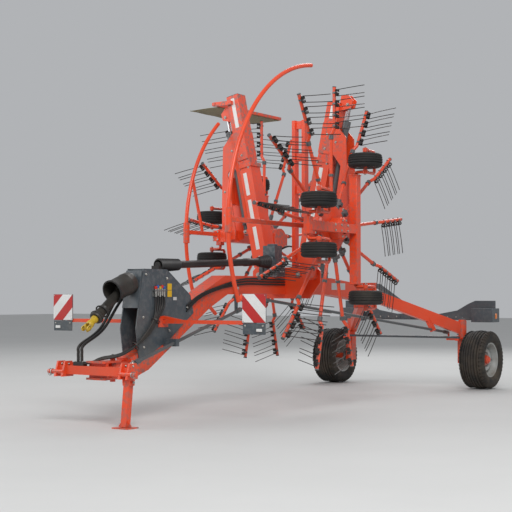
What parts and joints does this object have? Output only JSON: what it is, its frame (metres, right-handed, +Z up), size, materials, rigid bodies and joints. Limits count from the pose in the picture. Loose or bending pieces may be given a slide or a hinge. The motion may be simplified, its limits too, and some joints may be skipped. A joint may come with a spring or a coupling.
{
  "type": "rotary hay rake",
  "caption": "Towed rotary hay rake folded for the road, with raking rotors on telescoping booms, steered rear wheels and a parking leg.",
  "frame": {"origin": "on the ground, under the middle of the machine's box as folded for the road", "axes": "+Z up, -Y forward towards the tractor, +X to the machine's left"},
  "size_m": [3.216, 7.5558, 4.0545],
  "materials": {
    "paint": "semi-gloss orange-red paint",
    "slate": "slate-grey paint",
    "grey": "grey paint",
    "chrome": "polished",
    "tyre": "matt rubber",
    "rim": "light grey paint",
    "lamp": "moulded lens",
    "panel": "sheet with warning stripes",
    "curtain": "olive coated cloth",
    "black_plastic": "moulded",
    "hose": "matt",
    "guard": "moulded",
    "yellow": "yellow paint"
  },
  "bodies": {
    "frame": {"main_beam": "paint", "bearing_tower": "slate", "pto_guard": "guard", "drive_shaft": "black_plastic", "gearbox": "slate", "valve_block": "grey", "mast": "paint", "left_sign_arm": "paint", "right_sign_arm": "paint", "left_warning_panel": "panel", "right_warning_panel": "panel", "rear_arms": "paint", "light_carrier": "slate", "left_rear_lamp": "lamp", "right_rear_lamp": "lamp", "hose_1": "hose", "hose_2": "hose"},
    "headstock": {"headstock": "paint", "hose_clamp": "black_plastic"},
    "parking_leg": {"parking_leg": "paint"},
    "pto_yoke": {"pto_yoke": "yellow"},
    "front_steering_rod": {"front_steering_rod": "grey"},
    "rear_steering_rod": {"rear_steering_rod": "grey"},
    "steering_lever": {"steering_lever": "slate"},
    "tie_rod": {"tie_rod": "slate"},
    "left_knuckle": {"left_knuckle": "paint"},
    "left_road_wheel": {"left_tyre": "tyre", "left_rim": "rim"},
    "right_knuckle": {"right_knuckle": "paint"},
    "right_road_wheel": {"right_tyre": "tyre", "right_rim": "rim"},
    "left_boom": {"left_boom_sleeve": "paint", "left_cylinder_barrel": "grey"},
    "left_boom_slide": {"left_boom_beam": "paint", "left_cylinder_rod": "chrome", "left_rotor_carrier": "paint", "left_guard_hoop": "paint", "left_rotor_chassis": "paint"},
    "left_rotor": {"left_rotor": "paint"},
    "left_front_upper_wheel": {"left_front_upper_wheel": "tyre"},
    "left_front_lower_wheel": {"left_front_lower_wheel": "tyre"},
    "left_main_upper_wheel": {"left_main_upper_wheel": "tyre"},
    "left_main_lower_wheel": {"left_main_lower_wheel": "tyre"},
    "right_boom": {"right_boom_sleeve": "paint", "right_cylinder_barrel": "grey"},
    "right_boom_slide": {"right_boom_beam": "paint", "right_cylinder_rod": "chrome", "right_rotor_carrier": "paint", "right_guard_hoop": "paint", "right_rotor_chassis": "paint", "curtain_frame": "paint", "curtain": "curtain"},
    "right_rotor": {"right_rotor": "paint"},
    "right_front_upper_wheel": {"right_front_upper_wheel": "tyre"},
    "right_front_lower_wheel": {"right_front_lower_wheel": "tyre"},
    "right_main_upper_wheel": {"right_main_upper_wheel": "tyre"},
    "right_main_lower_wheel": {"right_main_lower_wheel": "tyre"}
  },
  "joints": [
    {"name": "headstock_swivel", "type": "hinge", "parent": "frame", "child": "headstock", "pos_m": [0, -3.34239, 0.56], "axis": [0, 0, 1], "range_deg": [-45, 45]},
    {"name": "leg_fold", "type": "hinge", "parent": "headstock", "child": "parking_leg", "pos_m": [0.44, -3.60239, 0.46], "axis": [1, 0, 0], "range_deg": [0, 90]},
    {"name": "pto_spin", "type": "hinge", "parent": "frame", "child": "pto_yoke", "pos_m": [0, -3.76239, 0.99], "axis": [0, 0.812, 0.5836], "continuous": true},
    {"name": "front_rod_slide", "type": "slide", "parent": "frame", "child": "front_steering_rod", "axis": [-0.0373, 0.965, 0.2597], "range_m": [-0.21, 0.21]},
    {"name": "rear_rod_slide", "type": "slide", "parent": "frame", "child": "rear_steering_rod", "axis": [0.1135, 0.9866, -0.1168], "range_m": [-0.075, 0.075]},
    {"name": "lever_turn", "type": "hinge", "parent": "frame", "child": "steering_lever", "pos_m": [0.1083, -1.27239, 1.42], "axis": [1, 0, 0], "range_deg": [-47, 47]},
    {"name": "left_steer", "type": "hinge", "parent": "frame", "child": "left_knuckle", "pos_m": [0.93, 3.24761, 0.86], "axis": [0, 0, 1], "range_deg": [-18, 18]},
    {"name": "left_wheel_spin", "type": "hinge", "parent": "left_knuckle", "child": "left_road_wheel", "pos_m": [1.22, 3.24761, 0.42], "axis": [1, 0, 0], "continuous": true},
    {"name": "right_steer", "type": "hinge", "parent": "frame", "child": "right_knuckle", "pos_m": [-0.93, 3.24761, 0.86], "axis": [0, 0, 1], "range_deg": [-18, 18]},
    {"name": "right_wheel_spin", "type": "hinge", "parent": "right_knuckle", "child": "right_road_wheel", "pos_m": [-1.22, 3.24761, 0.42], "axis": [1, 0, 0], "continuous": true},
    {"name": "tie_rod_pivot", "type": "hinge", "parent": "left_knuckle", "child": "tie_rod", "pos_m": [0.93, 3.08761, 0.736], "axis": [0, 0, 1], "range_deg": [-18, 18]},
    {"name": "left_boom_fold", "type": "hinge", "parent": "frame", "child": "left_boom", "pos_m": [0.3, -0.00239, 1.6], "axis": [0, 1, 0], "range_deg": [0, 90]},
    {"name": "left_boom_extend", "type": "slide", "parent": "left_boom", "child": "left_boom_slide", "axis": [0.2079, 0, 0.9781], "range_m": [0, 1.16]},
    {"name": "left_rotor_spin", "type": "hinge", "parent": "left_boom_slide", "child": "left_rotor", "pos_m": [1.08, -0.70239, 2.12], "axis": [1, 0, 0], "continuous": true},
    {"name": "left_front_upper_spin", "type": "hinge", "parent": "left_boom_slide", "child": "left_front_upper_wheel", "pos_m": [1.4, -1.50239, 2.4], "axis": [0, 0, 1], "continuous": true},
    {"name": "left_front_lower_spin", "type": "hinge", "parent": "left_boom_slide", "child": "left_front_lower_wheel", "pos_m": [1.4, -1.50239, 1.84], "axis": [0, 0, 1], "continuous": true},
    {"name": "left_main_upper_spin", "type": "hinge", "parent": "left_boom_slide", "child": "left_main_upper_wheel", "pos_m": [1.4, -0.45239, 2.93], "axis": [0, 0, 1], "continuous": true},
    {"name": "left_main_lower_spin", "type": "hinge", "parent": "left_boom_slide", "child": "left_main_lower_wheel", "pos_m": [1.4, -0.45239, 1.31], "axis": [0, 0, 1], "continuous": true},
    {"name": "right_boom_fold", "type": "hinge", "parent": "frame", "child": "right_boom", "pos_m": [-0.3, -0.00239, 1.6], "axis": [0, -1, 0], "range_deg": [0, 90]},
    {"name": "right_boom_extend", "type": "slide", "parent": "right_boom", "child": "right_boom_slide", "axis": [-0.2079, 0, 0.9781], "range_m": [0, 1.16]},
    {"name": "right_rotor_spin", "type": "hinge", "parent": "right_boom_slide", "child": "right_rotor", "pos_m": [-1.08, 1.07761, 2.12], "axis": [1, 0, 0], "continuous": true},
    {"name": "right_front_upper_spin", "type": "hinge", "parent": "right_boom_slide", "child": "right_front_upper_wheel", "pos_m": [-1.4, 0.27761, 2.4], "axis": [0, 0, 1], "continuous": true},
    {"name": "right_front_lower_spin", "type": "hinge", "parent": "right_boom_slide", "child": "right_front_lower_wheel", "pos_m": [-1.4, 0.27761, 1.84], "axis": [0, 0, 1], "continuous": true},
    {"name": "right_main_upper_spin", "type": "hinge", "parent": "right_boom_slide", "child": "right_main_upper_wheel", "pos_m": [-1.4, 1.32761, 2.93], "axis": [0, 0, 1], "continuous": true},
    {"name": "right_main_lower_spin", "type": "hinge", "parent": "right_boom_slide", "child": "right_main_lower_wheel", "pos_m": [-1.4, 1.32761, 1.31], "axis": [0, 0, 1], "continuous": true}
  ],
  "couplings": [
    {"joint": "front_rod_slide", "follows": "headstock_swivel", "m_per_rad": 0.25},
    {"joint": "rear_rod_slide", "follows": "headstock_swivel", "m_per_rad": 0.088},
    {"joint": "lever_turn", "follows": "headstock_swivel", "ratio": 1.04},
    {"joint": "left_steer", "follows": "headstock_swivel", "ratio": -0.4},
    {"joint": "right_steer", "follows": "headstock_swivel", "ratio": -0.4},
    {"joint": "tie_rod_pivot", "follows": "headstock_swivel", "ratio": 0.4},
    {"joint": "left_boom_extend", "follows": "left_boom_fold", "m_per_rad": 0.732},
    {"joint": "right_boom_extend", "follows": "right_boom_fold", "m_per_rad": 0.732}
  ]
}
